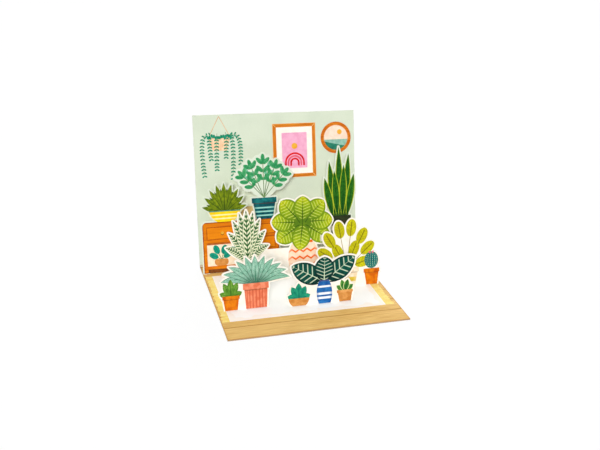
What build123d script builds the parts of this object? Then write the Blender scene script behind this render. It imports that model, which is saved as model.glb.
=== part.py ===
from build123d import *
from math import cos, hypot, radians, sin, tan
import os

# A pop-up greeting card, open on a table. Millimetres, +Z up, X along the fold, +Y towards the wall panel.
# The origin is the centre of the floor panel's underside.

# Board that makes the floor panel and the wall panel
card_width = 133.0
panel_length = 121.0
board_thickness = 0.9
wall_lean = 12.0

# Paper of the pop-up layers and of the strips that tie them
sheet_thickness = 0.4
fold_radius = 0.3
die_border = 1.1
infill_corner = 3.0
foot_length = 7.0
foot_upstand = 3.0
glue_tab_length = 5.0
closing_margin = 0.5
ROUND_END_SHARE = 0.30
RIM_HEIGHT_SHARE = 0.24
UNDER_RIM_SHARE = 0.90

# Distance of each layer in front of the fold, along the floor panel
cabinet_depth = 15.0
tall_depth = 15.0
middle_depth = 30.0
right_depth = 61.0
left_front_depth = 80.0
right_front_depth = 84.0

# Middle of each plant and pot across the card, as a share of the card's width
CABINET_X_SHARE = -0.26
BOWL_X_SHARE = -0.353
SPRAY_X_SHARE = -0.113
SWORD_X_SHARE = 0.361
STRIPE_X_SHARE = -0.248
JAR_X_SHARE = 0.09
PADDLE_X_SHARE = 0.286
CACTUS_X_SHARE = 0.44
GRASS_X_SHARE = -0.282
ROSETTE_X_SHARE = -0.421
JUG_X_SHARE = 0.098
LOW_BOWL_X_SHARE = -0.049
SPROUT_X_SHARE = 0.218

# Cabinet with two plants on its top
CABINET_WIDTH_SHARE = 0.459
CABINET_TOP_X_SHARE = -0.208
CABINET_TOP_WIDTH_SHARE = 0.331
cabinet_height = 41.0
cabinet_corner = 3.0
cabinet_foot_inset = 4.5

bowl_height = 9.0
bowl_width = 25.0
bowl_middle_width = 21.5
bowl_base_width = 12.0
spike_count = 9
spike_reach = 18.0
spike_rise = 23.0
spike_width = 4.6
spike_sweep = 78.0
spike_tuck = 1.5

spray_pot_height = 17.0
spray_pot_width = 20.0
spray_pot_base_width = 13.0
spray_stem_count = 5
spray_rise = 35.0
spray_sweep = 42.0
spray_leaf_length = 8.0
spray_leaf_width = 5.4
spray_fill_width = 27.0
spray_fill_height = 34.0
SPRAY_LEAF_SHARES = (0.40, 0.58, 0.76)
SPRAY_STEM_SHARES = (0.86, 0.94, 1.0, 0.92, 0.88)

# Tall sword-leaved plant on a stand
stand_height = 20.0
stand_width = 24.0
sword_pot_height = 19.0
sword_pot_width = 19.0
sword_pot_base_width = 14.0
sword_width = 6.6
sword_rise = 56.5
sword_spread = 25.0
sword_row = 12.0
SWORD_SHARES = (0.56, 0.80, 0.66, 1.0, 0.74, 0.90, 0.60)

# Middle layer: striped leaves at the left, broad leaves in a jar at the right
stripe_pot_height = 14.0
stripe_pot_width = 15.0
stripe_pot_base_width = 11.0
stripe_count = 9
stripe_reach = 18.0
stripe_rise = 41.5
stripe_width = 7.0
stripe_sweep = 72.0
stripe_bow_share = 0.09

jar_height = 27.0
jar_width = 25.0
jar_neck_width = 15.0
jar_base_width = 17.0
broad_rise = 35.5
broad_spread = 50.0
broad_leaf_width = 15.5
# Leaf base and tip, across the spread and up the rise
BROAD_LEAF_SHARES = (
    (-0.10, 0.30, -0.42, 0.02),
    (0.10, 0.30, 0.44, -0.02),
    (-0.12, 0.42, -0.50, 0.46),
    (0.12, 0.42, 0.50, 0.42),
    (-0.08, 0.50, -0.34, 0.92),
    (0.08, 0.50, 0.36, 0.88),
    (0.0, 0.46, 0.02, 1.0),
    (0.0, 0.36, -0.06, -0.22),
)
middle_fill_height = 22.0

# Right layer: paddle leaves in a round pot, and a small ribbed cactus
paddle_pot_height = 15.0
paddle_pot_width = 20.0
paddle_pot_base_width = 13.0
paddle_rise = 38.0
paddle_spread = 45.0
paddle_leaf_length = 13.5
paddle_leaf_width = 8.6
paddle_fill_width = 27.0
paddle_fill_height = 27.0
# Tip of each leaf, across the spread and up the rise
PADDLE_TIP_SHARES = (
    (-0.42, 0.10),
    (-0.50, 0.42),
    (-0.37, 0.75),
    (-0.14, 0.97),
    (0.12, 1.0),
    (0.36, 0.80),
    (0.50, 0.50),
    (0.44, 0.16),
    (-0.22, 0.50),
    (0.20, 0.55),
)
cactus_pot_height = 13.0
cactus_pot_width = 13.0
cactus_pot_base_width = 9.0
cactus_width = 12.0
cactus_rise = 13.5
right_fill_height = 9.0

# Left front layer: a tuft of grass in a tall pot, and a rosette in a small pot
grass_pot_height = 19.0
grass_pot_width = 19.0
grass_pot_base_width = 15.5
grass_count = 11
grass_reach = 26.0
grass_width = 5.6
grass_sweep = 80.0
grass_bow_share = 0.12
grass_tuck = 1.5

rosette_pot_height = 11.0
rosette_pot_width = 12.5
rosette_pot_base_width = 9.0
rosette_count = 5
rosette_reach = 8.5
rosette_rise = 13.5
rosette_width = 5.0
rosette_sweep = 75.0
left_fill_height = 8.0

# Right front layer: big dark leaves in a jug, a low bowl and a small pot
jug_height = 18.0
jug_width = 12.0
jug_neck_width = 7.0
jug_base_width = 9.0
dark_spread = 49.0
dark_leaf_width = 15.5
# Tip of each leaf, across the spread and up the rise
DARK_TIP_SHARES = ((-0.50, 0.72), (0.50, 0.92), (0.02, 1.0))

low_bowl_height = 6.0
low_bowl_width = 16.0
low_bowl_middle_width = 14.4
low_bowl_base_width = 10.0
cushion_count = 5
cushion_reach = 9.0
cushion_rise = 12.5
cushion_width = 5.6
cushion_sweep = 75.0

sprout_pot_height = 9.0
sprout_pot_width = 12.5
sprout_pot_base_width = 9.0
sprout_count = 4
sprout_reach = 7.5
sprout_rise = 9.5
sprout_width = 5.0
sprout_sweep = 60.0
right_front_fill_height = 7.0

# Strips that tie each layer to the sheet behind it: height up the lean and width
PADDLE_STRIP_X_SHARE = 0.233
JUG_STRIP_X_SHARE = 0.158
tall_strip_height = 30.0
tall_strip_width = 12.0
stripe_strip_height = 24.0
stripe_strip_width = 12.0
jar_strip_height = 18.0
jar_strip_width = 14.0
paddle_strip_height = 30.0
paddle_strip_width = 9.0
grass_strip_height = 11.0
grass_strip_width = 9.0
jug_strip_height = 6.5
jug_strip_width = 7.0

# Places that follow from the sizes
lean = radians(wall_lean)
fold_y = panel_length / 2
sheet_slant = sheet_thickness / cos(lean)
crease_height = fold_radius + sheet_thickness

cabinet_x = card_width * CABINET_X_SHARE
bowl_x = card_width * BOWL_X_SHARE
spray_x = card_width * SPRAY_X_SHARE
sword_x = card_width * SWORD_X_SHARE
stripe_x = card_width * STRIPE_X_SHARE
jar_x = card_width * JAR_X_SHARE
paddle_x = card_width * PADDLE_X_SHARE
cactus_x = card_width * CACTUS_X_SHARE
grass_x = card_width * GRASS_X_SHARE
rosette_x = card_width * ROSETTE_X_SHARE
jug_x = card_width * JUG_X_SHARE
low_bowl_x = card_width * LOW_BOWL_X_SHARE
sprout_x = card_width * SPROUT_X_SHARE
paddle_strip_x = card_width * PADDLE_STRIP_X_SHARE
jug_strip_x = card_width * JUG_STRIP_X_SHARE
cabinet_width = card_width * CABINET_WIDTH_SHARE
cabinet_foot_width = cabinet_width - 2 * cabinet_foot_inset
cabinet_top_x = card_width * CABINET_TOP_X_SHARE
cabinet_top_width = card_width * CABINET_TOP_WIDTH_SHARE


def level(height):
    """Height above the table of a place at this height up a leaning sheet."""
    return board_thickness + height * cos(lean)


def on_lean(depth, forward, z):
    """Y and Z of a place on a sheet that meets the floor at this depth, moved forward off its face."""
    y = fold_y - depth - forward / cos(lean) + (z - board_thickness) * tan(lean)
    return (y, z)


def folded(inside_line, thickness, x_middle, width):
    """A folded sheet, drawn along its inside face, with a true bend at every fold."""
    path = FilletPolyline(*inside_line, radius=fold_radius)
    section = make_face(offset(path, amount=thickness, side=Side.RIGHT))
    return Pos(x_middle, 0, 0) * extrude(Plane.YZ * section, amount=width / 2, both=True)


def foot(depth, x_middle, width):
    """The tab at a layer's foot, folded back on the floor panel and glued to it."""
    tab_top = board_thickness + sheet_thickness
    line = [
        on_lean(depth, -sheet_thickness, level(foot_upstand)),
        on_lean(depth, -sheet_thickness, tab_top),
        (fold_y - depth + foot_length, tab_top),
    ]
    return folded(line, sheet_thickness, x_middle, width)


def tie_strip(rear_depth, front_depth, height, x_middle, width):
    """A strip parallel to the floor, with a tab folded down at each end and glued to a sheet."""
    z = level(height)
    rear = sheet_thickness
    front = -2 * sheet_thickness
    line = [
        on_lean(rear_depth, rear, z - glue_tab_length),
        on_lean(rear_depth, rear, z),
        on_lean(front_depth, front, z),
        on_lean(front_depth, front, z - glue_tab_length),
    ]
    return folded(line, sheet_thickness, x_middle, width)


def blade(start, tip, width, bow=0.0):
    """A pointed leaf between two arcs, bowed sideways off the line from its start to its tip."""
    start = Vector(*start)
    tip = Vector(*tip)
    along = (tip - start).normalized()
    across = Vector(-along.Y, along.X)
    middle = (start + tip) * 0.5 + across * bow
    left_edge = ThreePointArc(start, middle + across * (width / 2), tip)
    right_edge = ThreePointArc(tip, middle - across * (width / 2), start)
    return make_face(left_edge + right_edge)


def fan(x, base, count, reach, rise, width, sweep, bow_share=0.0):
    """Leaves spread from one place: their tips lie on an ellipse of this reach and rise."""
    leaves = []
    for number in range(count):
        share = 2 * number / (count - 1) - 1
        turn = radians(sweep) * share
        tip = (x + reach * sin(turn), base + rise * cos(turn))
        length = hypot(tip[0] - x, tip[1] - base)
        leaves.append(blade((x, base), tip, width, bow_share * length * share))
    return leaves


def oval(x, base, tip, length, width):
    """A leaf with round ends that points away from the place where its stem starts."""
    round_end = width * ROUND_END_SHARE
    along = (Vector(*tip) - Vector(x, base)).normalized()
    inner_tip = Vector(*tip) - along * round_end
    inner_start = Vector(*tip) - along * (length - round_end)
    inner = blade(tuple(inner_start), tuple(inner_tip), width - 2 * round_end)
    return offset(inner, amount=round_end)


def pot(x, base, height, top_width, base_width):
    """A pot that tapers to its base, with an upright rim that stands proud of its sides."""
    rim = top_width / 2
    under_rim = rim * UNDER_RIM_SHARE
    rim_base = base + height * (1 - RIM_HEIGHT_SHARE)
    corners = [
        (x - base_width / 2, base),
        (x + base_width / 2, base),
        (x + under_rim, rim_base),
        (x + rim, rim_base),
        (x + rim, base + height),
        (x - rim, base + height),
        (x - rim, rim_base),
        (x - under_rim, rim_base),
    ]
    return make_face(Polyline(*corners, close=True))


def belly(x, base, height, width, neck_width, base_width):
    """A bowl, jar or jug: round sides between its base and its neck, this wide half way up."""
    left_side = ThreePointArc(
        (x - neck_width / 2, base + height),
        (x - width / 2, base + height / 2),
        (x - base_width / 2, base),
    )
    foot_line = Line((x - base_width / 2, base), (x + base_width / 2, base))
    right_side = ThreePointArc(
        (x + base_width / 2, base),
        (x + width / 2, base + height / 2),
        (x + neck_width / 2, base + height),
    )
    mouth = Line((x + neck_width / 2, base + height), (x - neck_width / 2, base + height))
    return make_face(left_side + foot_line + right_side + mouth)


def block(x_left, x_right, height):
    """Blank paper that joins neighbours on one layer, from the floor up."""
    shape = Pos((x_left + x_right) / 2, 0) * Rectangle(x_right - x_left, 2 * height)
    return fillet(shape.vertices(), radius=infill_corner)


def crown(x, middle, width, height):
    """Blank paper behind a plant's leaves, where the cut line doesn't go in between them."""
    return Pos(x, middle) * Ellipse(width / 2, height / 2)


def layer(depth, printed, blank, feet):
    """A die-cut sheet: its cut line runs one border outside the print, and its feet are folded back."""
    outline = Sketch() + [offset(shape, amount=die_border) for shape in printed] + blank
    closed_in = make_face(outline.face().outer_wire())
    reach = 2 * (card_width + panel_length)
    above_floor = closed_in & (Pos(0, reach / 2) * Rectangle(reach, reach))
    face_plane = Plane(
        origin=(0, fold_y - depth, board_thickness),
        x_dir=(1, 0, 0),
        z_dir=(0, -cos(lean), sin(lean)),
    )
    sheet = extrude(face_plane * above_floor, amount=sheet_slant, dir=(0, 1, 0))
    for x_middle, width in feet:
        crease = Box(width, foot_length, 2 * crease_height)
        sheet -= Pos(x_middle, fold_y - depth, board_thickness) * crease
        sheet += foot(depth, x_middle, width)
    return sheet


def card_board():
    """Floor panel and wall panel, one board with a scored fold between them."""
    line = [
        (fold_y - panel_length, board_thickness),
        on_lean(0, 0, board_thickness),
        on_lean(0, 0, level(panel_length)),
    ]
    return folded(line, board_thickness, 0, card_width)


def cabinet_layer():
    bowl_top = cabinet_height + bowl_height
    pot_top = cabinet_height + spray_pot_height
    front = Pos(cabinet_x, cabinet_height / 2) * Rectangle(cabinet_width, cabinet_height)
    outer_corner = front.vertices().group_by(Axis.X)[0].sort_by(Axis.Y)[-1]
    front = fillet(outer_corner, radius=cabinet_corner)
    dish = belly(
        bowl_x, cabinet_height, bowl_height, bowl_middle_width, bowl_width, bowl_base_width
    )
    spikes = fan(
        bowl_x, bowl_top - spike_tuck, spike_count, spike_reach, spike_rise, spike_width, spike_sweep
    )
    spray_pot = pot(
        spray_x, cabinet_height, spray_pot_height, spray_pot_width, spray_pot_base_width
    )
    leaves = spray_leaves(spray_x, pot_top)
    fill = crown(spray_x, pot_top + spray_fill_height / 2, spray_fill_width, spray_fill_height)
    printed = [front, dish, spray_pot] + spikes + leaves
    return layer(cabinet_depth, printed, [fill], [(cabinet_x, cabinet_foot_width)])


def spray_leaves(x, base):
    """Stems that fan out of a pot, each with pairs of rounded leaves and one at its tip."""
    leaves = []
    for number, stem_share in enumerate(SPRAY_STEM_SHARES[:spray_stem_count]):
        turn = radians(spray_sweep) * (2 * number / (spray_stem_count - 1) - 1)
        along = Vector(sin(turn), cos(turn))
        across = Vector(cos(turn), -sin(turn))
        root = Vector(x, base)
        length = spray_rise * stem_share
        for share in SPRAY_LEAF_SHARES:
            joint = root + along * (length * share)
            for side in (-1, 1):
                tip = joint + (along + across * side) * (spray_leaf_length * cos(radians(45)))
                leaves.append(
                    oval(joint.X, joint.Y, (tip.X, tip.Y), spray_leaf_length, spray_leaf_width)
                )
        tip = root + along * length
        leaves.append(oval(x, base, (tip.X, tip.Y), spray_leaf_length, spray_leaf_width))
    return leaves


def tall_plant_layer():
    stand = Pos(sword_x, stand_height / 2) * Rectangle(stand_width, stand_height)
    sword_pot = pot(
        sword_x, stand_height, sword_pot_height, sword_pot_width, sword_pot_base_width
    )
    pot_top = stand_height + sword_pot_height
    swords = []
    for number, share in enumerate(SWORD_SHARES):
        across = number / (len(SWORD_SHARES) - 1) - 0.5
        start = (sword_x + sword_row * across, pot_top - die_border)
        tip = (sword_x + sword_spread * across, pot_top + sword_rise * share)
        swords.append(blade(start, tip, sword_width))
    return layer(tall_depth, [stand, sword_pot] + swords, [], [(sword_x, stand_width)])


def middle_layer():
    stripe_pot = pot(
        stripe_x, 0, stripe_pot_height, stripe_pot_width, stripe_pot_base_width
    )
    stripes = fan(
        stripe_x,
        stripe_pot_height - die_border,
        stripe_count,
        stripe_reach,
        stripe_rise,
        stripe_width,
        stripe_sweep,
        stripe_bow_share,
    )
    jar = belly(jar_x, 0, jar_height, jar_width, jar_neck_width, jar_base_width)
    leaves = []
    for start_x, start_rise, tip_x, tip_rise in BROAD_LEAF_SHARES:
        start = (jar_x + broad_spread * start_x, jar_height + broad_rise * start_rise)
        tip = (jar_x + broad_spread * tip_x, jar_height + broad_rise * tip_rise)
        leaves.append(blade(start, tip, broad_leaf_width))
    fill = block(stripe_x, jar_x, middle_fill_height)
    heart = crown(jar_x, jar_height + broad_rise / 3, broad_spread / 2, broad_rise)
    feet = [(stripe_x, stripe_pot_base_width), (jar_x, jar_base_width)]
    return layer(middle_depth, [stripe_pot, jar] + stripes + leaves, [fill, heart], feet)


def right_layer():
    paddle_pot = pot(paddle_x, 0, paddle_pot_height, paddle_pot_width, paddle_pot_base_width)
    leaves = []
    for tip_x, tip_rise in PADDLE_TIP_SHARES:
        tip = (paddle_x + paddle_spread * tip_x, paddle_pot_height + paddle_rise * tip_rise)
        leaves.append(oval(paddle_x, paddle_pot_height, tip, paddle_leaf_length, paddle_leaf_width))
    cactus_pot = pot(cactus_x, 0, cactus_pot_height, cactus_pot_width, cactus_pot_base_width)
    cactus_top = cactus_pot_height + cactus_rise
    cactus = oval(cactus_x, 0, (cactus_x, cactus_top), cactus_rise, cactus_width)
    fill = block(paddle_x, cactus_x, right_fill_height)
    heart = crown(
        paddle_x, paddle_pot_height + paddle_fill_height / 2, paddle_fill_width, paddle_fill_height
    )
    feet = [(paddle_x, paddle_pot_base_width), (cactus_x, cactus_pot_base_width)]
    return layer(right_depth, [paddle_pot, cactus_pot, cactus] + leaves, [fill, heart], feet)


def left_front_layer():
    top = panel_length - left_front_depth - closing_margin - die_border
    grass_base = grass_pot_height - grass_tuck
    grass_pot = pot(grass_x, 0, grass_pot_height, grass_pot_width, grass_pot_base_width)
    grass = fan(
        grass_x,
        grass_base,
        grass_count,
        grass_reach,
        top - grass_base,
        grass_width,
        grass_sweep,
        grass_bow_share,
    )
    rosette_pot = pot(
        rosette_x, 0, rosette_pot_height, rosette_pot_width, rosette_pot_base_width
    )
    rosette = fan(
        rosette_x,
        rosette_pot_height - die_border,
        rosette_count,
        rosette_reach,
        rosette_rise,
        rosette_width,
        rosette_sweep,
    )
    fill = block(rosette_x, grass_x, left_fill_height)
    feet = [(grass_x, grass_pot_base_width), (rosette_x, rosette_pot_base_width)]
    return layer(left_front_depth, [grass_pot, rosette_pot] + grass + rosette, [fill], feet)


def right_front_layer():
    top = panel_length - right_front_depth - closing_margin - die_border
    dark_rise = top - jug_height
    jug = belly(jug_x, 0, jug_height, jug_width, jug_neck_width, jug_base_width)
    dark = []
    for tip_x, tip_rise in DARK_TIP_SHARES:
        tip = (jug_x + dark_spread * tip_x, jug_height + dark_rise * tip_rise)
        dark.append(blade((jug_x, jug_height - die_border), tip, dark_leaf_width))
    low_bowl = belly(
        low_bowl_x, 0, low_bowl_height, low_bowl_middle_width, low_bowl_width, low_bowl_base_width
    )
    cushion = fan(
        low_bowl_x,
        low_bowl_height - die_border,
        cushion_count,
        cushion_reach,
        cushion_rise,
        cushion_width,
        cushion_sweep,
    )
    sprout_pot = pot(sprout_x, 0, sprout_pot_height, sprout_pot_width, sprout_pot_base_width)
    sprout = fan(
        sprout_x,
        sprout_pot_height - die_border,
        sprout_count,
        sprout_reach,
        sprout_rise,
        sprout_width,
        sprout_sweep,
    )
    fill = block(low_bowl_x, sprout_x, right_front_fill_height)
    printed = [jug, low_bowl, sprout_pot] + dark + cushion + sprout
    feet = [
        (jug_x, jug_base_width),
        (low_bowl_x, low_bowl_base_width),
        (sprout_x, sprout_pot_base_width),
    ]
    return layer(right_front_depth, printed, [fill], feet)


def main():
    pieces = {
        "card_board": card_board(),
        "cabinet_layer": cabinet_layer(),
        "cabinet_top": tie_strip(
            0, cabinet_depth, cabinet_height, cabinet_top_x, cabinet_top_width
        ),
        "tall_plant_layer": tall_plant_layer(),
        "tall_plant_strip": tie_strip(
            0, tall_depth, tall_strip_height, sword_x, tall_strip_width
        ),
        "middle_layer": middle_layer(),
        "middle_left_strip": tie_strip(
            cabinet_depth, middle_depth, stripe_strip_height, stripe_x, stripe_strip_width
        ),
        "middle_right_strip": tie_strip(
            0, middle_depth, jar_strip_height, jar_x, jar_strip_width
        ),
        "right_layer": right_layer(),
        "right_strip": tie_strip(
            middle_depth, right_depth, paddle_strip_height, paddle_strip_x, paddle_strip_width
        ),
        "left_front_layer": left_front_layer(),
        "left_front_strip": tie_strip(
            middle_depth, left_front_depth, grass_strip_height, grass_x, grass_strip_width
        ),
        "right_front_layer": right_front_layer(),
        "right_front_strip": tie_strip(
            middle_depth, right_front_depth, jug_strip_height, jug_strip_x, jug_strip_width
        ),
    }
    os.makedirs("parts", exist_ok=True)
    for name, piece in pieces.items():
        piece.label = name
        export_step(piece, f"parts/{name}.step")
        print(name, "volume", round(piece.volume, 2), "solids", len(piece.solids()))


main()
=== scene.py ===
import bmesh
import bpy
import random
from math import asin, cos, hypot, pi, radians, sin
from mathutils import Matrix, Vector


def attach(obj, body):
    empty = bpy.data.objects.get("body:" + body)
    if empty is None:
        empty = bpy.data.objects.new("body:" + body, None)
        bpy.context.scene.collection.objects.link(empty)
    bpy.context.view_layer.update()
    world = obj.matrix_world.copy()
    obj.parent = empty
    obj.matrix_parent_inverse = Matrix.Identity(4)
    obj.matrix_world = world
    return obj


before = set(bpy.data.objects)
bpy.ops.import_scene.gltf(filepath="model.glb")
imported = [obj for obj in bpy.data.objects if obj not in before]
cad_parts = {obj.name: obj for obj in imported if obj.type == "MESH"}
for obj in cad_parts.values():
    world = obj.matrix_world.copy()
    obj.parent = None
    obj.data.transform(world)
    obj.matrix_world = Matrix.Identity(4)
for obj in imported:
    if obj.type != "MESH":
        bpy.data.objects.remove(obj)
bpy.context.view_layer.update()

# The card's sizes in millimetres, as in its solids. A place on a sheet is x across it and v up it.
MM = 0.001
card_width = 133.0
panel_length = 121.0
board_thickness = 0.9
wall_lean = 12.0
fold_y = panel_length / 2

# Middle of each plant and pot across the card
cabinet_x = card_width * -0.26
bowl_x = card_width * -0.353
spray_x = card_width * -0.113
sword_x = card_width * 0.361
stripe_x = card_width * -0.248
jar_x = card_width * 0.09
paddle_x = card_width * 0.286
cactus_x = card_width * 0.44
grass_x = card_width * -0.282
rosette_x = card_width * -0.421
jug_x = card_width * 0.098
low_bowl_x = card_width * -0.049
sprout_x = card_width * 0.218
cabinet_width = card_width * 0.459
cabinet_top_x = card_width * -0.208
cabinet_top_width = card_width * 0.331
cabinet_height = 41.0
cabinet_corner = 3.0

# The print's lowest line on a layer, and the room above its tallest leaf: 1.1 of blank border and 0.5 to close
foot_line = 0.3
head_room = 1.6

# How far each layer stands in front of the fold
cabinet_depth = 15.0
tall_depth = 15.0
middle_depth = 30.0
right_depth = 61.0
left_front_depth = 80.0
right_front_depth = 84.0

# Each printed shape lies this much higher than the one before it, and its foot is sunk into the sheet
first_coat = 0.012
next_coat = 0.004
wall_coat = 0.001
sunk = 0.06

# A curved edge rises at least this much from its straight line
flattest_rise = 0.05

# Camera fitted to the card's corners
view_turn = -18.841
view_down = 21.150
view_roll = 2.666
view_place = (-151.9, -533.3, 276.6)
lens_mm = 48.39
sensor_mm = 36.0
lens_shift = (-0.0670, -0.0115)

# In metres, as the materials count: the wall's top edge, the planks on the floor panel and the table under the card
wall_top = 0.1193
plank_width = 0.0165
first_seam = 0.11825
table_radius = 8.0

# Lamps: name, where the light comes from, strength, and how many degrees wide it is
LAMPS = (
    ("front_light", (-0.28, -0.87, 0.40), 2.20, 14),
    ("top_light", (-0.05, 0.20, 0.98), 1.37, 50),
    ("back_light", (0.30, 0.85, 0.43), 0.95, 40),
)
sky_light = 0.25
white_share = 0.84


def add_object(name, data):
    """A new object in the scene."""
    made = bpy.data.objects.new(name, data)
    bpy.context.scene.collection.objects.link(made)
    return made


def mesh_object(name, bm, material):
    """A new object from a finished mesh."""
    data = bpy.data.meshes.new(name)
    bm.to_mesh(data)
    bm.free()
    data.materials.append(material)
    return add_object(name, data)


def make_camera():
    """A camera at the photograph's angle."""
    data = bpy.data.cameras.new("camera")
    data.sensor_width = sensor_mm
    data.lens = lens_mm
    data.shift_x, data.shift_y = lens_shift
    data.clip_start = 0.01
    camera = add_object("camera", data)
    matrix = Matrix.Translation(Vector(view_place) * MM)
    for degrees, axis in ((view_turn, "Z"), (90 - view_down, "X"), (view_roll, "Z")):
        matrix = matrix @ Matrix.Rotation(radians(degrees), 4, axis)
    camera.matrix_world = matrix
    bpy.context.scene.camera = camera


make_camera()
bpy.context.scene.view_settings.view_transform = "Standard"


# Colour and ink

def linear(colour):
    """A colour given as it looks on screen, 0 to 255, as a shader counts it."""
    channels = []
    for level in colour:
        share = level / 255
        channels.append(share / 12.92 if share <= 0.04045 else ((share + 0.055) / 1.055) ** 2.4)
    return (*channels, 1.0)


SAGE = (219, 228, 206)
CREAM = (251, 248, 239)
BOUNCE_GREY = (193, 193, 193)

# Washes: a light tone, a dark one, and how fine they mottle
BARE = ((244, 242, 236), (241, 239, 232), 900.0)
COVER_TINT = ((226, 234, 218), (222, 231, 213), 900.0)
TABLE_WHITE = ((252, 252, 252), (250, 250, 250), 3.0)


def add_node(tree, kind, inputs=None, **settings):
    """A new node. Each input takes another node's output, a number, or a colour as it looks on screen."""
    made = tree.nodes.new(kind)
    for key, value in settings.items():
        setattr(made, key, value)
    for key, value in (inputs or {}).items():
        if isinstance(value, bpy.types.NodeSocket):
            tree.links.new(value, made.inputs[key])
        else:
            made.inputs[key].default_value = linear(value) if isinstance(value, tuple) else value
    return made


class Ink:
    """A node material for printed paper, built up from masks and colours."""

    def __init__(self, name, *paint):
        self.material = bpy.data.materials.new(name)
        self.material.use_nodes = True
        self.tree = self.material.node_tree
        self.tree.nodes.clear()
        self.across, self.along, self.lot = self.own("shape")
        self.half, self.length = self.own("size")[:2]
        self.colour = self.wash(*paint) if paint else None

    def node(self, kind, inputs=None, **settings):
        """A new node in this material."""
        return add_node(self.tree, kind, inputs, **settings)

    def split(self, vector):
        """The three parts of a vector."""
        return tuple(self.node("ShaderNodeSeparateXYZ", {0: vector}).outputs)

    def own(self, name):
        """The printed shape's own values, which its mesh carries."""
        return self.split(self.node("ShaderNodeAttribute", attribute_name=name).outputs["Vector"])

    def place(self):
        """Where a point is on the card, in metres."""
        return self.node("ShaderNodeTexCoord").outputs["Object"]

    def math(self, operation, *values):
        """A sum, a product and so on of numbers and outputs."""
        return self.node("ShaderNodeMath", dict(enumerate(values)), operation=operation).outputs[0]

    def times(self, one, other):
        """A product."""
        return self.math("MULTIPLY", one, other)

    def facing(self, direction, least):
        """A mask that is 1 where the surface faces this way."""
        inputs = {0: self.node("ShaderNodeTexCoord").outputs["Normal"], 1: Vector(direction)}
        made = self.node("ShaderNodeVectorMath", inputs, operation="DOT_PRODUCT")
        return self.ramp(made.outputs["Value"], least - 0.02, least)

    def noise(self, scale, detail=2.0, stretch=None):
        """Mottling of this many spots to the metre, stretched along an axis if asked."""
        place = self.place()
        if stretch:
            place = self.node("ShaderNodeMapping", {"Vector": place, "Scale": Vector(stretch)}).outputs[0]
        return self.node("ShaderNodeTexNoise", {"Vector": place, "Scale": scale, "Detail": detail}).outputs["Fac"]

    def ramp(self, value, low, high, start=0.0, end=1.0):
        """A value eased from start to end as another goes from low to high."""
        inputs = {"Value": value, "From Min": low, "From Max": high, "To Min": start, "To Max": end}
        return self.node("ShaderNodeMapRange", inputs, interpolation_type="SMOOTHSTEP").outputs[0]

    def line(self, value, middle, half, soft):
        """A mask that is 1 within half of the middle."""
        away = self.math("ABSOLUTE", self.math("SUBTRACT", value, middle))
        return self.ramp(away, half, half + soft, 1.0, 0.0)

    def stripes(self, value, count, share, soft=0.06):
        """A mask of lines that take this share of each step, with so many steps from 0 to 1."""
        step = self.math("FRACT", self.times(value, count))
        return self.line(step, 0.5, share / 2, soft)

    def aside(self):
        """How far from a shape's middle line, 0 to 1."""
        return self.math("ABSOLUTE", self.across)

    def centred(self):
        """-1 at a shape's foot, 0 half way up and 1 at its tip."""
        return self.math("MULTIPLY_ADD", self.along, 2.0, -1.0)

    def slanted(self, slope):
        """How far up a leaf, counted along veins that slant from its midrib."""
        return self.math("SUBTRACT", self.along, self.times(self.aside(), slope))

    def around(self, across):
        """How far round a round body, 0 to 1, from how far across it."""
        return self.math("MULTIPLY_ADD", self.math("ARCSINE", across), 1 / pi, 0.5)

    def edge(self):
        """0 at a pointed leaf's midrib and 1 all along its edges."""
        centred = self.centred()
        width = self.math("SUBTRACT", 1.0, self.times(centred, centred))
        return self.math("DIVIDE", self.aside(), self.math("MAXIMUM", width, 0.06))

    def round_edge(self):
        """0 at the middle line of a round-ended shape, -1 and 1 along its sides."""
        centred = self.centred()
        width = self.math("SQRT", self.math("SUBTRACT", 1.02, self.times(centred, centred)))
        return self.math("DIVIDE", self.across, width)

    def from_edge(self):
        """How far a place on a straight-sided shape is from its nearest edge, in millimetres."""
        from_side = self.times(self.math("SUBTRACT", 1.0, self.aside()), self.half)
        nearest = self.math("MINIMUM", self.along, self.math("SUBTRACT", 1.0, self.along))
        return self.math("MINIMUM", from_side, self.times(nearest, self.length))

    def border(self, width):
        """A mask along the edges of a straight-sided shape, this wide in millimetres."""
        return self.ramp(self.from_edge(), width * 0.7, width * 1.3, 1.0, 0.0)

    def mix(self, mask, below, above):
        """One colour with another laid over it where the mask is 1."""
        return self.node("ShaderNodeMix", {0: mask, 6: below, 7: above}, data_type="RGBA").outputs[2]

    def wash(self, light, dark, scale=420.0):
        """Two tones of one paint, pooled unevenly as it dries."""
        pools = self.ramp(self.noise(scale, 4.0), 0.34, 0.66)
        speckle = self.ramp(self.noise(2300.0, 2.0), 0.35, 0.75, 0.0, 0.35)
        return self.mix(self.times(pools, self.math("SUBTRACT", 1.0, speckle)), dark, light)

    def lay(self, mask, paint):
        """Paint over the ink's colour where the mask is 1."""
        self.colour = self.mix(mask, self.colour, paint)

    def matt(self, fibre):
        """A matt surface: mottled roughness and a fibre relief this strong."""
        grain = self.noise(2600.0, 3.0)
        bump = self.node("ShaderNodeBump", {"Height": grain, "Strength": fibre, "Distance": 0.0001})
        rough = self.ramp(grain, 0.3, 0.7, 0.52, 0.68)
        inputs = {"Base Color": self.colour, "Roughness": rough, "Normal": bump.outputs[0]}
        return self.node("ShaderNodeBsdfPrincipled", {**inputs, "Specular IOR Level": 0.12})

    def cover(self, shader):
        """The finished material, with this shader all over it."""
        self.node("ShaderNodeOutputMaterial", {"Surface": shader.outputs[0]})
        return self.material

    def finish(self, fibre=0.06):
        """The finished material, as printed paper."""
        return self.cover(self.matt(fibre))


# Paper and board

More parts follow.
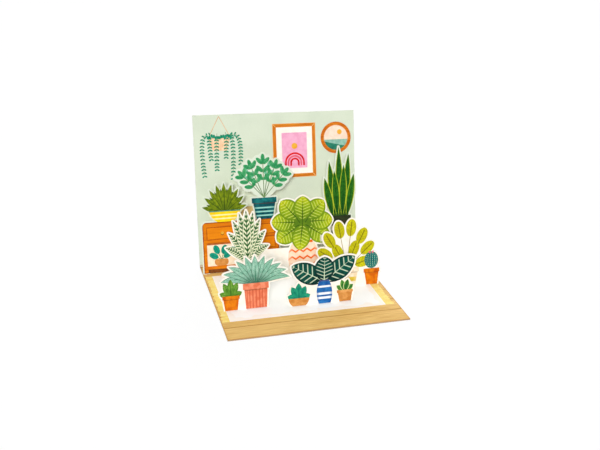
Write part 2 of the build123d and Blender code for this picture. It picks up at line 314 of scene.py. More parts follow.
UP = (0, 0, 1)
FORWARD = (0, -cos(radians(wall_lean)), sin(radians(wall_lean)))
BACKWARD = (0, cos(radians(wall_lean)), -sin(radians(wall_lean)))


def plain_paper(name):
    """Uncoated paper for the strips."""
    ink = Ink(name, *BARE)
    return ink.finish(0.12)


def bordered_paper(name, light, dark):
    """A layer's paper: tinted on its printed side, plain on its back and at its cut edge."""
    ink = Ink(name, *BARE)
    ink.lay(ink.facing(FORWARD, 0.98), ink.wash(light, dark, 130.0))
    return ink.finish(0.10)


def top_paper():
    """The strip that is the cabinet's top, printed as pale wood on its upper side."""
    ink = Ink("top_paper", *BARE)
    streaks = ink.ramp(ink.noise(1.0, 4.0, (30.0, 1300.0, 1300.0)), 0.32, 0.70)
    ink.lay(ink.facing(UP, 0.6), ink.mix(streaks, (208, 174, 110), (224, 196, 136)))
    return ink.finish()


def cover_print(ink, x, z):
    """The board's outer side: cut edges bare, the back of the wall tinted, with two ruled lines near its edges."""
    tint = ink.wash(*COVER_TINT)
    from_side = ink.math("SUBTRACT", card_width / 2 * MM, ink.math("ABSOLUTE", x))
    from_end = ink.math("MINIMUM", z, ink.math("SUBTRACT", wall_top, z))
    nearest = ink.math("MINIMUM", from_side, from_end)
    for away, half in ((0.0062, 0.00035), (0.0078, 0.00012)):
        tint = ink.mix(ink.line(nearest, away, half, 0.0001), tint, (206, 150, 82))
    return ink.mix(ink.facing(BACKWARD, 0.98), ink.wash(*BARE), tint)


def sage_print(ink, z):
    """Pale green paint up the wall, with a brown line at its foot painted as the shade in the fold."""
    sage = ink.wash(SAGE, (212, 222, 200), 45.0)
    sage = ink.mix(ink.ramp(ink.noise(900.0, 3.0), 0.45, 0.75, 0.0, 0.25), sage, (225, 234, 216))
    # Painted shade: a brown band at the foot of the wall, where the fold is.
    foot = ink.ramp(z, 0.0012, 0.0030, 0.75, 0.0)
    return ink.mix(foot, sage, (176, 120, 60))


def plank_print(ink, x, y):
    """Planks along the fold: streaks, ticks and broad bands of grain, with darker seams and edges, and painted
    shade where the floor meets the fold.
    """
    streaks = ink.noise(1.0, 5.0, (70.0, 1700.0, 1.0))
    ink.colour = ink.mix(ink.ramp(streaks, 0.34, 0.66), (209, 162, 87), (232, 193, 117))
    ticks = ink.ramp(ink.noise(1.0, 2.0, (240.0, 2600.0, 1.0)), 0.62, 0.72, 0.0, 0.45)
    ink.lay(ticks, (190, 138, 70))
    broad = ink.ramp(ink.noise(1.0, 2.0, (9.0, 120.0, 1.0)), 0.42, 0.66, 0.0, 0.3)
    ink.lay(broad, (243, 208, 140))
    seam = ink.stripes(ink.math("ADD", y, first_seam), 1 / plank_width, 0.035, 0.02)
    ink.lay(ink.times(seam, 0.85), (176, 122, 54))
    from_front = ink.ramp(y, -0.0601, -0.0594, 0.8, 0.0)
    from_side = ink.ramp(ink.math("ABSOLUTE", x), 0.0655, 0.0662, 0.0, 0.7)
    ink.lay(ink.math("MAXIMUM", from_front, from_side), (196, 132, 52))
    # Painted shade: the planks darken towards the fold at the back of the floor panel, where the wall meets it.
    crease_shade = ink.ramp(y, 0.0560, 0.0600, 0.0, 0.7)
    ink.lay(crease_shade, (150, 96, 46))
    return ink.colour


def card_paper():
    """Board with pale green print on the wall, a plank floor on the floor panel, and the cover's print outside."""
    ink = Ink("card_paper")
    x, y, z = ink.split(ink.place())
    low = ink.times(ink.ramp(z, 0.0005, 0.0006), ink.ramp(z, 0.0012, 0.0020, 1.0, 0.0))
    planks = plank_print(ink, x, y)
    ink.colour = cover_print(ink, x, z)
    ink.lay(ink.facing(FORWARD, 0.95), sage_print(ink, z))
    ink.lay(ink.times(ink.facing(UP, 0.97), low), planks)
    return ink.finish()


# Inks

def leaf_ink(name, light, dark, rib, rib_half=0.10, edge=None, veins=None, vein_count=7.0, foot=None, tip=None):
    """A pointed leaf: two greens, another tone at its foot or tip, a midrib, and veins that slant from it."""
    ink = Ink(name, light, dark)
    ink.lay(ink.ramp(ink.lot, 0.0, 1.0, 0.0, 0.45), dark)
    ink.lay(ink.ramp(ink.along, 0.05, 0.60, 0.85, 0.0), foot or dark)
    if tip:
        ink.lay(ink.ramp(ink.along, 0.55, 1.0, 0.0, 0.8), tip)
    if edge:
        ink.lay(ink.ramp(ink.edge(), 0.70, 0.86), edge)
    else:
        ink.lay(ink.ramp(ink.edge(), 0.74, 0.98, 0.0, 0.75), foot or dark)
    if veins:
        inside = ink.ramp(ink.edge(), 0.72, 0.90, 0.85, 0.0)
        slant = ink.stripes(ink.slanted(0.16), vein_count, 0.10, 0.10)
        ink.lay(ink.times(slant, inside), veins)
    narrow = ink.ramp(ink.along, 0.0, 1.0, 1.0, 0.15)
    away = ink.math("DIVIDE", ink.aside(), narrow)
    ink.lay(ink.ramp(away, rib_half, rib_half * 1.8, 0.9, 0.0), rib)
    return ink.finish()


def round_leaf_ink(name, light, dark, rib):
    """A round-ended leaf with a midrib, faint side veins and a darker edge."""
    ink = Ink(name, light, dark)
    ink.lay(ink.ramp(ink.lot, 0.0, 1.0, 0.0, 0.5), dark)
    ink.lay(ink.times(ink.stripes(ink.slanted(0.22), 6.0, 0.08, 0.10), 0.4), rib)
    side = ink.math("ABSOLUTE", ink.round_edge())
    ink.lay(ink.ramp(side, 0.72, 1.0, 0.0, 0.6), dark)
    midrib = ink.times(ink.line(ink.across, 0.0, 0.06, 0.06), ink.ramp(ink.along, 0.80, 0.95, 0.9, 0.0))
    ink.lay(midrib, rib)
    return ink.finish()


def striped_leaf_ink():
    """A cream leaf with dark green flames that run out from its midrib."""
    ink = Ink("striped_leaf")
    cream = ink.wash((243, 240, 212), (229, 232, 192))
    green = ink.wash((78, 128, 62), (44, 96, 50))
    flames = ink.stripes(ink.slanted(0.10), 11.0, 0.44, 0.10)
    inside = ink.ramp(ink.edge(), 0.72, 0.80, 1.0, 0.0)
    ink.colour = ink.mix(ink.times(flames, inside), cream, green)
    ink.lay(ink.ramp(ink.edge(), 0.84, 0.95, 0.0, 0.8), green)
    ink.lay(ink.line(ink.across, 0.0, 0.05, 0.06), (38, 84, 44))
    return ink.finish()


def ball_ink():
    """A round cactus: ribs that swell at its middle, with pale spines along their crests."""
    ink = Ink("ball_cactus")
    longitude = ink.around(ink.round_edge())
    ink.colour = ink.wash((38, 146, 132), (14, 116, 110))
    grooves = ink.stripes(longitude, 9.0, 0.22, 0.18)
    ink.lay(ink.times(grooves, 0.85), (8, 78, 80))
    crest = ink.math("ADD", longitude, 1 / 18)
    spines = ink.times(ink.stripes(crest, 9.0, 0.12, 0.06), ink.stripes(ink.along, 9.0, 0.3, 0.1))
    ink.lay(spines, (226, 232, 196))
    return ink.finish()


def ceramic_ink(name, light, dark, bands=(), flutes=0, flute=None):
    """A painted pot: darker at its sides, with bands around it or flutes up it."""
    ink = Ink(name, light, dark, 260.0)
    for middle, half, paint in bands:
        ink.lay(ink.line(ink.along, middle, half, 0.02), paint)
    if flutes:
        turn = ink.around(ink.times(ink.across, 0.98))
        ink.lay(ink.times(ink.stripes(turn, flutes, 0.22, 0.16), 0.8), flute)
    side = ink.ramp(ink.aside(), 0.525, 1.0, 0.0, 0.55)
    ink.lay(side, dark)
    under_rim(ink)
    return ink.finish()


def under_rim(ink):
    """The shade that a rim throws on the top of a pot's side."""
    mask = ink.times(ink.ramp(ink.along, 0.93, 0.955, 0.0, 0.45), ink.ramp(ink.length, 7.0, 7.1))
    ink.lay(mask, (96, 44, 20))


def zigzag_ink(name, light, dark, paint, rows, count):
    """A pot painted with rows of zigzag line."""
    ink = Ink(name, light, dark, 260.0)
    swing = ink.math("PINGPONG", ink.math("MULTIPLY_ADD", ink.across, count / 2, count), 0.5)
    rise = ink.math("SUBTRACT", ink.along, ink.times(swing, 0.16))
    for row in rows:
        ink.lay(ink.line(rise, row, 0.022, 0.015), paint)
    side = ink.ramp(ink.aside(), 0.6, 1.0, 0.0, 0.5)
    ink.lay(side, dark)
    return ink.finish()


def timber_ink(name, light, dark, outline, width=0.7, upright=False):
    """Painted wood: streaks along its grain inside an outline."""
    ink = Ink(name)
    stretch = (1100.0, 30.0, 45.0) if upright else (45.0, 30.0, 1100.0)
    streaks = ink.ramp(ink.noise(1.0, 4.0, stretch), 0.34, 0.68)
    ink.colour = ink.mix(streaks, dark, light)
    ink.lay(ink.ramp(ink.noise(260.0, 3.0), 0.45, 0.7, 0.0, 0.5), light)
    wavy = ink.times(ink.border(width), ink.ramp(ink.noise(700.0, 2.0), 0.3, 0.5, 0.55, 1.0))
    ink.lay(wavy, outline)
    return ink.finish()


def field_ink(name, light, dark, scale=300.0):
    """An even field of paint."""
    ink = Ink(name, light, dark, scale)
    return ink.finish()


def rug_ink():
    """A white woven rug with a soft warm border, uneven on its inner side."""
    ink = Ink("rug")
    weft = ink.stripes(ink.split(ink.place())[1], 900.0, 0.4, 0.2)
    white = ink.mix(ink.times(weft, 0.35), (254, 254, 253), (251, 249, 244))
    uneven = ink.ramp(ink.noise(110.0, 3.0), 0.3, 0.7, -2.0, 2.0)
    band = ink.ramp(ink.math("ADD", ink.from_edge(), uneven), 3.8, 5.4, 0.85, 0.0)
    warm = ink.mix(ink.noise(60.0, 2.0), (252, 245, 235), (252, 240, 228))
    ink.colour = ink.mix(band, white, warm)
    ink.lay(ink.border(0.5), white)
    return ink.finish(0.3)


def fringe_ink():
    """Twisted yellow threads, some paler and some deeper, with shade between them."""
    ink = Ink("rug_fringe", (255, 240, 158), (252, 226, 124), 500.0)
    ink.lay(ink.ramp(ink.lot, 0.5, 1.0, 0.0, 0.7), (250, 218, 112))
    side = ink.math("ABSOLUTE", ink.centred())
    ink.lay(ink.ramp(side, 0.6, 1.0, 0.0, 0.8), (222, 170, 72))
    return ink.finish()


# Name, light, dark, outline, its width in millimetres, and whether its grain runs up the sheet
WOODS = (
    ("orange_wood", (228, 130, 4), (206, 104, 0), (150, 62, 4)),
    ("orange_panel", (236, 142, 6), (224, 124, 2), (164, 68, 4), 0.6),
    ("frame_rail", (224, 136, 40), (202, 104, 16), (244, 186, 104), 0.25),
    ("frame_stile", (224, 136, 40), (202, 104, 16), (244, 186, 104), 0.25, True),
    ("mirror_wood", (222, 124, 24), (194, 92, 10), (168, 74, 8), 0.2),
    ("stand_wood", (222, 160, 92), (196, 128, 62), (140, 84, 36), 0.5),
)

# Name, light, dark, and how fine the wash is
PAINTS = (
    ("tan_top", (214, 190, 132), (206, 176, 114), 120.0),
    ("shade", (128, 72, 26), (104, 56, 18)),
    ("shelf_back", (252, 236, 212), (244, 222, 190)),
    ("shelf_shade", (190, 104, 34), (170, 86, 24)),
    ("knob", (250, 208, 86), (226, 166, 44)),
    ("mount", (254, 251, 243), (250, 245, 232)),
    ("pink", (250, 186, 212), (242, 166, 198)),
    ("red", (232, 36, 34), (206, 16, 28)),
    ("rose", (238, 112, 130), (228, 92, 112)),
    ("amber", (250, 190, 70), (240, 166, 48)),
    ("hill_far", (158, 202, 184), (132, 182, 164)),
    ("hill_near", (52, 140, 112), (28, 112, 92)),
    ("peach_sky", (252, 232, 212), (248, 218, 194)),
    ("mitre", (252, 212, 146), (244, 190, 112)),
    ("cord", (236, 186, 130), (216, 156, 98)),
    ("stem", (122, 152, 96), (92, 124, 72)),
    ("brown_stem", (176, 154, 92), (146, 122, 66)),
    ("bowl_rim", (96, 156, 138), (64, 128, 112)),
)

# Name, light, dark, rib
ROUND_LEAVES = (
    ("shelf_leaf", (24, 178, 142), (6, 138, 116), (6, 104, 92)),
    ("trail_leaf", (60, 176, 136), (22, 136, 100), (14, 104, 80)),
    ("spray_leaf", (92, 186, 122), (46, 146, 86), (26, 110, 66)),
    ("spray_back", (150, 212, 180), (108, 182, 146), (70, 150, 112)),
    ("paddle_leaf", (216, 212, 22), (184, 176, 6), (116, 108, 10)),
)

# Name, light, dark, rib, half the rib's width, edge, veins, how many of them, foot, tip
POINTED_LEAVES = (
    ("spike", (146, 164, 18), (90, 114, 6), (56, 76, 8), 0.16),
    ("spike_back", (116, 138, 26), (76, 98, 14), (52, 68, 14), 0.14),
    ("sword", (56, 130, 24), (20, 86, 14), (10, 58, 12), 0.08, (178, 192, 44), (14, 66, 14), 16.0),
    ("sword_back", (40, 106, 34), (20, 76, 22), (12, 54, 16), 0.08),
    ("broad_leaf", (172, 192, 30), (122, 156, 20), (62, 96, 16), 0.05, None, (222, 230, 104), 8.0,
     (98, 134, 18), (204, 206, 24)),
    ("broad_back", (120, 150, 28), (84, 120, 20), (52, 84, 16), 0.05),
    ("grass", (182, 220, 200), (130, 186, 160), (44, 118, 88), 0.1, None, (108, 170, 142), 13.0, (6, 70, 50)),
    ("grass_back", (140, 192, 168), (86, 152, 122), (42, 112, 84), 0.12),
    ("rosette", (122, 172, 66), (78, 132, 36), (52, 100, 28), 0.12),
    ("dark_leaf", (6, 98, 78), (0, 62, 54), (208, 230, 196), 0.035, None, (216, 232, 202), 7.0, (0, 36, 34)),
    ("cushion", (46, 172, 132), (14, 132, 104), (8, 96, 82), 0.1),
    ("sprout", (96, 160, 60), (40, 112, 44), (20, 78, 34), 0.1, (226, 232, 168)),
)

# Name, light, dark, bands (how far up, half their width, paint), how many flutes, and their paint
POTS = (
    ("peach_pot", (252, 226, 190), (240, 196, 150), (), 12, (246, 204, 166)),
    ("yellow_bowl", (252, 230, 24), (246, 204, 10),
     ((0.3, 0.05, (255, 246, 176)), (0.62, 0.05, (255, 246, 176)))),
    ("teal_pot", (14, 106, 110), (0, 70, 80),
     ((0.22, 0.035, (150, 218, 206)), (0.46, 0.035, (150, 218, 206)), (0.7, 0.035, (150, 218, 206)))),
    ("teal_rim", (26, 128, 126), (0, 74, 84)),
    ("green_pot", (52, 62, 34), (28, 36, 20), ((0.62, 0.13, (246, 232, 214)),)),
    ("green_rim", (52, 62, 34), (28, 36, 20)),
    ("clay_rim", (232, 148, 84), (202, 106, 50)),
    ("jar_rim", (244, 116, 28), (220, 88, 12)),
    ("cream_pot", (252, 242, 222), (236, 212, 176), ((0.5, 0.14, (222, 190, 60)),)),
    ("cream_rim", (252, 244, 226), (236, 212, 176)),
    ("orange_pot", (232, 134, 8), (204, 94, 2)),
    ("orange_rim", (234, 138, 12), (194, 84, 2)),
    ("pink_pot", (242, 150, 112), (222, 112, 76), (), 11, (206, 90, 60)),
    ("pink_rim", (246, 158, 122), (222, 112, 76)),
    ("blue_jug", (48, 124, 190), (20, 84, 156),
     ((0.24, 0.04, (240, 246, 250)), (0.42, 0.04, (240, 246, 250)), (0.72, 0.03, (240, 246, 250)))),
    ("tan_pot", (224, 158, 84), (196, 124, 54)),
    ("tan_rim", (232, 170, 98), (196, 124, 54)),
)

# Name, light, dark, paint, how far up each row is, and how many zigzags it has
ZIGZAG_POTS = (
    ("clay_pot", (226, 138, 74), (202, 106, 50), (252, 232, 200), (0.34,), 5),
    ("jar", (254, 226, 202), (250, 208, 178), (240, 104, 20), (0.22, 0.44, 0.66), 4),
)

INKS = {"striped_leaf": striped_leaf_ink(), "ball_cactus": ball_ink(), "rug": rug_ink(), "rug_fringe": fringe_ink()}
MAKERS = (
    (timber_ink, WOODS),
    (field_ink, PAINTS),
    (round_leaf_ink, ROUND_LEAVES),
    (leaf_ink, POINTED_LEAVES),
    (ceramic_ink, POTS),
    (zigzag_ink, ZIGZAG_POTS),
)
for maker, rows in MAKERS:
    for name, *values in rows:
        INKS[name] = maker(name, *values)


# Print on a sheet

class Sheet:
    """The printed face of one sheet. Shapes are painted in turn, and those of one ink become one piece."""

    def __init__(self, name, depth, up=(0, sin(radians(wall_lean)), cos(radians(wall_lean))), out=FORWARD):
        self.name = name
        self.lots = random.Random(name)
        self.meshes = {}
        self.height = first_coat
        self.step = next_coat
        matrix = Matrix((Vector((1, 0, 0)), Vector(up), Vector(out))).transposed().to_4x4()
        matrix.translation = (0, fold_y - depth, board_thickness)
        self.matrix = Matrix.Scale(MM, 4) @ matrix

    def mesh(self, ink):
        """The mesh that gathers this sheet's shapes of one ink."""
        if ink not in self.meshes:
            bm = bmesh.new()
            bm.verts.layers.float_vector.new("shape")
            bm.verts.layers.float_vector.new("size")
            self.meshes[ink] = bm
        return self.meshes[ink]

    def mark(self, bm, verts, start, along, length, half, bow=0.0):
        """Lift a new shape above the last, and give it its own coordinates and its size."""
        shape = bm.verts.layers.float_vector["shape"]
        size = bm.verts.layers.float_vector["size"]
        across = Vector((along.y, -along.x, 0))
        lot = self.lots.random()
        for vert in verts:
            away = vert.co - start
            share = away.dot(along) / length
            aside = away.dot(across) + 4 * bow * share * (1 - share)
            vert[shape] = (aside / half, share, lot)
            vert[size] = (half, length, 0)
            vert.co.z = self.height
        self.height += self.step

    def arc(self, bm, start, tip, rise, steps):
        """A chain of points from start to tip that rises this far to the left of the straight line."""
        if abs(rise) < flattest_rise:
            rise = flattest_rise
        chord = tip - start
        half = chord.length / 2
        radius = (half * half + rise * rise) / (2 * abs(rise))
        across = Vector((-chord.y, chord.x, 0)).normalized()
        side = 1 if rise > 0 else -1
        centre = (start + tip) / 2 + across * side * (abs(rise) - radius)
        angle = 2 * asin(min(1.0, half / radius))
        if abs(rise) > half:
            angle = 2 * pi - angle
        chain = [bm.verts.new(start)]
        bmesh.ops.spin(
            bm, geom=chain[:], cent=centre, axis=(0, 0, 1), angle=-side * angle, steps=steps, use_merge=False
        )
        while len(chain) <= steps:
            near = [edge.other_vert(chain[-1]) for edge in chain[-1].link_edges]
            chain += [vert for vert in near if vert not in chain]
        chain[-1].co = tip
        return chain

    def bridge(self, bm, one, other):
        """Faces between two chains of points."""
        edges = []
        for chain in (one, other):
            for first, last in zip(chain, chain[1:]):
                edges.append(bm.edges.get((first, last)))
        bmesh.ops.bridge_loops(bm, edges=edges)

    def fill(self, bm, verts):
        """A face inside a ring of points, joined up where they aren't yet."""
        edges = []
        for first, last in zip(verts, verts[1:] + verts[:1]):
            edges.append(bm.edges.get((first, last)) or bm.edges.new((first, last)))
        bmesh.ops.edgeloop_fill(bm, edges=edges)

    def blade(self, ink, start, tip, width, bow=0.0):
        """A pointed leaf: two edges bridged to its midrib."""
        bm = self.mesh(ink)
        start, tip = Vector((*start, 0)), Vector((*tip, 0))
        length = (tip - start).length
        steps = max(5, min(16, int(length / 1.6)))
        chains = [self.arc(bm, start, tip, bow + half, steps) for half in (width / 2, 0, -width / 2)]
        self.bridge(bm, chains[0], chains[1])
        self.bridge(bm, chains[1], chains[2])
        verts = [vert for chain in chains for vert in chain]
        self.mark(bm, verts, start, (tip - start).normalized(), length, width / 2, bow)
        bmesh.ops.remove_doubles(bm, verts=verts, dist=0.001)

    def fan(self, ink, x, base, count, reach, rise, width, sweep, bow_share=0.0):
        """Blades spread from one place, the outer ones painted first."""
        shares = [2 * number / (count - 1) - 1 for number in range(count)]
        for share in sorted(shares, key=abs, reverse=True):
            turn = radians(sweep) * share
            tip = (x + reach * sin(turn), base + rise * cos(turn))
            length = hypot(tip[0] - x, tip[1] - base)
            self.blade(ink, (x, base), tip, width, bow_share * length * share)

    def oval(self, ink, middle, length, width, along=(0, 1)):
        """A round-ended shape that points this way."""
        bm = self.mesh(ink)
        along = Vector((*along, 0)).normalized()
        across = Vector((along.y, -along.x, 0))
        centre = Vector((*middle, 0))
        sides = max(10, min(36, int(3 * length)))
        matrix = Matrix((across * width / 2, along * length / 2, Vector((0, 0, 1)))).transposed().to_4x4()
        made = bmesh.ops.create_circle(
            bm, cap_ends=True, segments=sides, radius=1, matrix=Matrix.Translation(centre) @ matrix
        )
        self.mark(bm, made["verts"], centre - along * length / 2, along, length, width / 2)

    def leaf(self, ink, root, tip, length, width):
        """A round-ended leaf that ends at its tip and points away from its root."""
        along = (Vector(tip) - Vector(root)).normalized()
        self.oval(ink, Vector(tip) - along * length / 2, length, width * 0.96, along)

    def patch(self, ink, corners):
        """A straight-sided shape."""
        bm = self.mesh(ink)
        verts = [bm.verts.new((x, v, 0)) for x, v in corners]
        self.fill(bm, verts)
        left, low = map(min, zip(*corners))
        right, high = map(max, zip(*corners))
        start = Vector(((left + right) / 2, low, 0))
        self.mark(bm, verts, start, Vector((0, 1, 0)), high - low, (right - left) / 2)

    def box(self, ink, left, right, low, high):
        """An upright rectangle."""
        self.patch(ink, [(left, low), (right, low), (right, high), (left, high)])

    def stroke(self, ink, start, tip, width):
        """A thin straight line."""
        start, tip = Vector(start), Vector(tip)
        side = (tip - start).orthogonal().normalized() * width / 2
        self.patch(ink, [start - side, tip - side, tip + side, start + side])

    def ring(self, ink, middle, outer, inner, first=0.0, last=360.0):
        """A ring, or the part of it between two angles."""
        bm = self.mesh(ink)
        centre = Vector((*middle, 0))
        away = Vector((cos(radians(first)), sin(radians(first)), 0))
        ends = [bm.verts.new(centre + away * radius) for radius in (outer, inner)]
        edge = bm.edges.new(ends)
        whole = last - first >= 360
        before = set(bm.verts) - set(ends)
        bmesh.ops.spin(
            bm, geom=ends + [edge], cent=centre, axis=(0, 0, 1), angle=radians(last - first),
            steps=max(12, int(outer * 4)), use_merge=whole,
        )
        verts = [vert for vert in bm.verts if vert not in before]
        self.mark(bm, verts, centre - Vector((0, outer, 0)), Vector((0, 1, 0)), 2 * outer, outer)

    def segment(self, ink, middle, radius, first, last):
        """The part of a disc between its rim and the straight line from one angle to the other."""
        bm = self.mesh(ink)
        centre = Vector((*middle, 0))
        ends = [centre + Vector((cos(radians(turn)), sin(radians(turn)), 0)) * radius for turn in (first, last)]
        half_turn = radians(last - first) / 2
        chain = self.arc(bm, ends[0], ends[1], -radius * (1 - cos(half_turn)), 16)
        self.fill(bm, chain)
        self.mark(bm, chain, centre - Vector((0, radius, 0)), Vector((0, 1, 0)), 2 * radius, radius)

    def round_sided(self, ink, x, base, height, width, neck_width, base_width):
        """A bowl, jar or jug, this wide half way up."""
        bm = self.mesh(ink)
        sides = []
        for side in (-1, 1):
            foot = Vector((x + side * base_width / 2, base, 0))
            neck = Vector((x + side * neck_width / 2, base + height, 0))
            chord = neck - foot
            across = Vector((-chord.y, chord.x, 0)).normalized()
            bulge = Vector((x + side * width / 2, base + height / 2, 0)) - (foot + neck) / 2
            sides.append(self.arc(bm, foot, neck, bulge.dot(across), 14))
        self.bridge(bm, sides[0], sides[1])
        half = max(width, neck_width) / 2
        self.mark(bm, sides[0] + sides[1], Vector((x, base, 0)), Vector((0, 1, 0)), height, half)

    def pot(self, body, rim, x, base, height, top_width, base_width):
        """A pot that tapers to its base, with an upright rim."""
        half, foot = top_width / 2, base_width / 2
        under = base + height * 0.76
        self.patch(body, [(x - foot, base), (x + foot, base), (x + half * 0.9, under), (x - half * 0.9, under)])
        self.box(rim, x - half, x + half, under, base + height)

    def finish(self, slot="layer_paper"):
        """Sink each shape into the sheet, move it to its place and make the pieces."""
        for ink, bm in self.meshes.items():
            before = set(bm.verts)
            bmesh.ops.extrude_face_region(bm, geom=bm.faces[:])
            for vert in bm.verts:
                if vert not in before:
                    vert.co.z = -sunk
            bmesh.ops.recalc_face_normals(bm, faces=bm.faces[:])
            bm.transform(self.matrix)
            piece = mesh_object(f"{self.name}_{ink}", bm, INKS[ink])
            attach(piece, "root")


def curve_place(start, pull, end, share):
    """A place on a curve that leaves start towards pull and ends at end."""
    start, pull, end = Vector(start), Vector(pull), Vector(end)
    return start * (1 - share) ** 2 + pull * 2 * share * (1 - share) + end * share ** 2


# Wall print

def table_top(wall):
    """The cabinet's top, printed on the wall where its strip is glued on."""
    left, right = cabinet_top_x - cabinet_top_width / 2, cabinet_top_x + cabinet_top_width / 2
    wall.patch("tan_top", [(left + 4.0, 38.0), (right, 38.0), (right, 46.4), (left + 9.0, 46.4)])


def hanging_planter(wall):
    """A peach pot on a cord, with strands of small paired leaves."""
    x, rim, foot = -46.0, 103.0, 92.5
    wall.stroke("cord", (x, 119.6), (x - 8.4, rim + 0.5), 0.45)
    wall.stroke("cord", (x, 119.6), (x + 8.4, rim + 0.5), 0.45)
    strands = (
        (-7.6, -17.0, -13.0, 72.0), (-5.6, -10.0, -7.0, 84.0), (-1.6, -2.4, -3.0, 76.0),
        (4.4, 6.4, 4.6, 86.0), (6.4, 12.5, 9.6, 70.0), (7.6, 19.0, 16.0, 80.0),
    )
    wall.patch("peach_pot", [(x - 5.6, foot), (x + 5.6, foot), (x + 8.8, rim), (x - 8.8, rim)])
    for start, pull, end, low in strands:
        wall_strand(wall, (x + start, rim + 0.6), (x + pull, rim + 8.0), (x + end, low))
    for number in range(13):
        along = wall.lots.uniform(-1, 1), 1.0
        middle = (x - 9.0 + 1.5 * number, rim + wall.lots.uniform(-0.4, 1.8))
        wall.oval("trail_leaf", middle, 3.0, 1.9, along)


def wall_strand(wall, start, pull, end):
    """One strand: a stem with pairs of small leaves down it."""
    here, travelled = Vector(start), 0.0
    for number in range(1, 81):
        there = curve_place(start, pull, end, number / 80)
        travelled += (there - here).length
        down = (there - here).normalized()
        here = there
        if travelled < 2.3:
            continue
        travelled = 0.0
        side = Vector((down.y, -down.x))
        wall.stroke("stem", here - down * 2.4, here, 0.25)
        for hand in (-1, 1):
            out = (down * 0.6 + side * hand).normalized()
            wall.oval("trail_leaf", here + out * 1.15, 2.2, 1.25, out)


def framed_picture(wall):
    """A picture of arches under a small sun, in a mitred wooden frame with a white mount."""
    left, right, low, high, rail = -3.0, 33.0, 68.0, 112.0, 3.0
    wall.box("mount", left + rail, right - rail, low + rail, high - rail)
    outer = [(left, low), (right, low), (right, high), (left, high)]
    inner = [(min(max(x, left + rail), right - rail), min(max(v, low + rail), high - rail)) for x, v in outer]
    for ink, first, last in (("rail", 0, 1), ("rail", 2, 3), ("stile", 3, 0), ("stile", 1, 2)):
        wall.patch("frame_" + ink, [outer[first], outer[last], inner[last], inner[first]])
    for x, away in ((left, 1), (right, -1)):
        for v, rise in ((low, 1), (high, -1)):
            wall.stroke("mitre", (x + 0.5 * away, v + 0.5 * rise), (x + 2.6 * away, v + 2.6 * rise), 0.4)
    wall.box("pink", left + 7.5, right - 7.5, low + 7.5, high - 7.5)
    middle = ((left + right) / 2, low + 12.0)
    for ink, radius in (("red", 8.4), ("rose", 6.2), ("red", 4.0)):
        wall.ring(ink, middle, radius, radius - 1.5, 0.0, 180.0)
        for side in (-1, 1):
            foot = middle[0] + side * (radius - 0.75)
            wall.box(ink, foot - 0.75, foot + 0.75, middle[1] - 2.6, middle[1])
    wall.oval("amber", (middle[0], middle[1] + 13.6), 5.0, 5.0)


def round_picture(wall):
    """Hills and a sun in a round wooden frame."""
    middle = (50.5, 99.0)
    wall.oval("peach_sky", middle, 21.0, 21.0)
    wall.oval("amber", (middle[0] + 3.2, middle[1] + 4.6), 4.2, 4.2)
    wall.segment("hill_far", middle, 10.6, 188.0, 352.0)
    wall.segment("hill_near", middle, 10.6, 196.0, 318.0)
    wall.ring("mirror_wood", middle, 13.0, 10.2)
    wall.ring("frame_rail", middle, 10.9, 10.2)


# Prints on the layers

def cabinet(sheet):
    """A cabinet front with painted shade under it between its legs: a drawer over an open shelf at the left and
    three drawers at the right.
    """
    left, right, top = cabinet_x - cabinet_width / 2, cabinet_x + cabinet_width / 2, cabinet_height
    corner = [
        (left + cabinet_corner * (1 - sin(turn)), top - cabinet_corner * (1 - cos(turn)))
        for turn in (radians(15 * number) for number in range(7))
    ]
    sheet.patch("orange_wood", [(left, 0.4), (right, 0.4), (right, top)] + corner)
    # Painted shade: a dark band under the cabinet, between its legs.
    sheet.box("shade", left + 3.2, right - 3.2, 0.4, 3.4)
    sheet.box("shelf_back", left + 3.0, left + 28.0, 6.0, 24.6)
    sheet.box("shelf_shade", left + 3.0, left + 28.0, 23.0, 24.6)
    drawer(sheet, left + 3.0, left + 28.0, 27.0, top - 3.8)
    for low in (6.0, 17.4, 28.8):
        drawer(sheet, left + 31.0, right - 3.0, low, min(low + 9.6, top - 3.8))
    shelf_plant(sheet, left + 14.0, 6.0)


def drawer(sheet, left, right, low, high):
    """A drawer front inside a dark outline, with a round knob."""
    middle, knob_height = (left + right) / 2, (low + high) / 2
    sheet.box("orange_panel", left, right, low, high)
    sheet.oval("shade", (middle, knob_height - 0.4), 2.7, 2.7)
    sheet.oval("knob", (middle, knob_height), 2.4, 2.4)


def shelf_plant(sheet, x, base):
    """Round teal leaves in a squat tan pot on the open shelf."""
    root = Vector((x, base + 5.0))
    for turn, length in ((-62.0, 10.5), (54.0, 10.0), (-24.0, 12.6), (18.0, 12.0)):
        along = Vector((sin(radians(turn)), cos(radians(turn))))
        sheet.stroke("stem", root, root + along * length * 0.6, 0.5)
        sheet.leaf("shelf_leaf", root, root + along * length, 7.6, 5.0)
    sheet.round_sided("tan_pot", x, base, 5.4, 11.0, 9.0, 6.4)


def spiky_bowl(sheet):
    """A dome of spikes in a yellow striped bowl."""
    x, top = bowl_x, cabinet_height
    sheet.fan("spike_back", x, top + 7.5, 8, 15.0, 19.0, 3.4, 70.0)
    sheet.fan("spike", x, top + 7.5, 9, 18.0, 23.0, 4.6, 78.0)
    sheet.round_sided("yellow_bowl", x, top, 9.0, 21.5, 25.0, 12.0)
    sheet.box("bowl_rim", x - 12.4, x + 12.4, top + 8.1, top + 9.0)


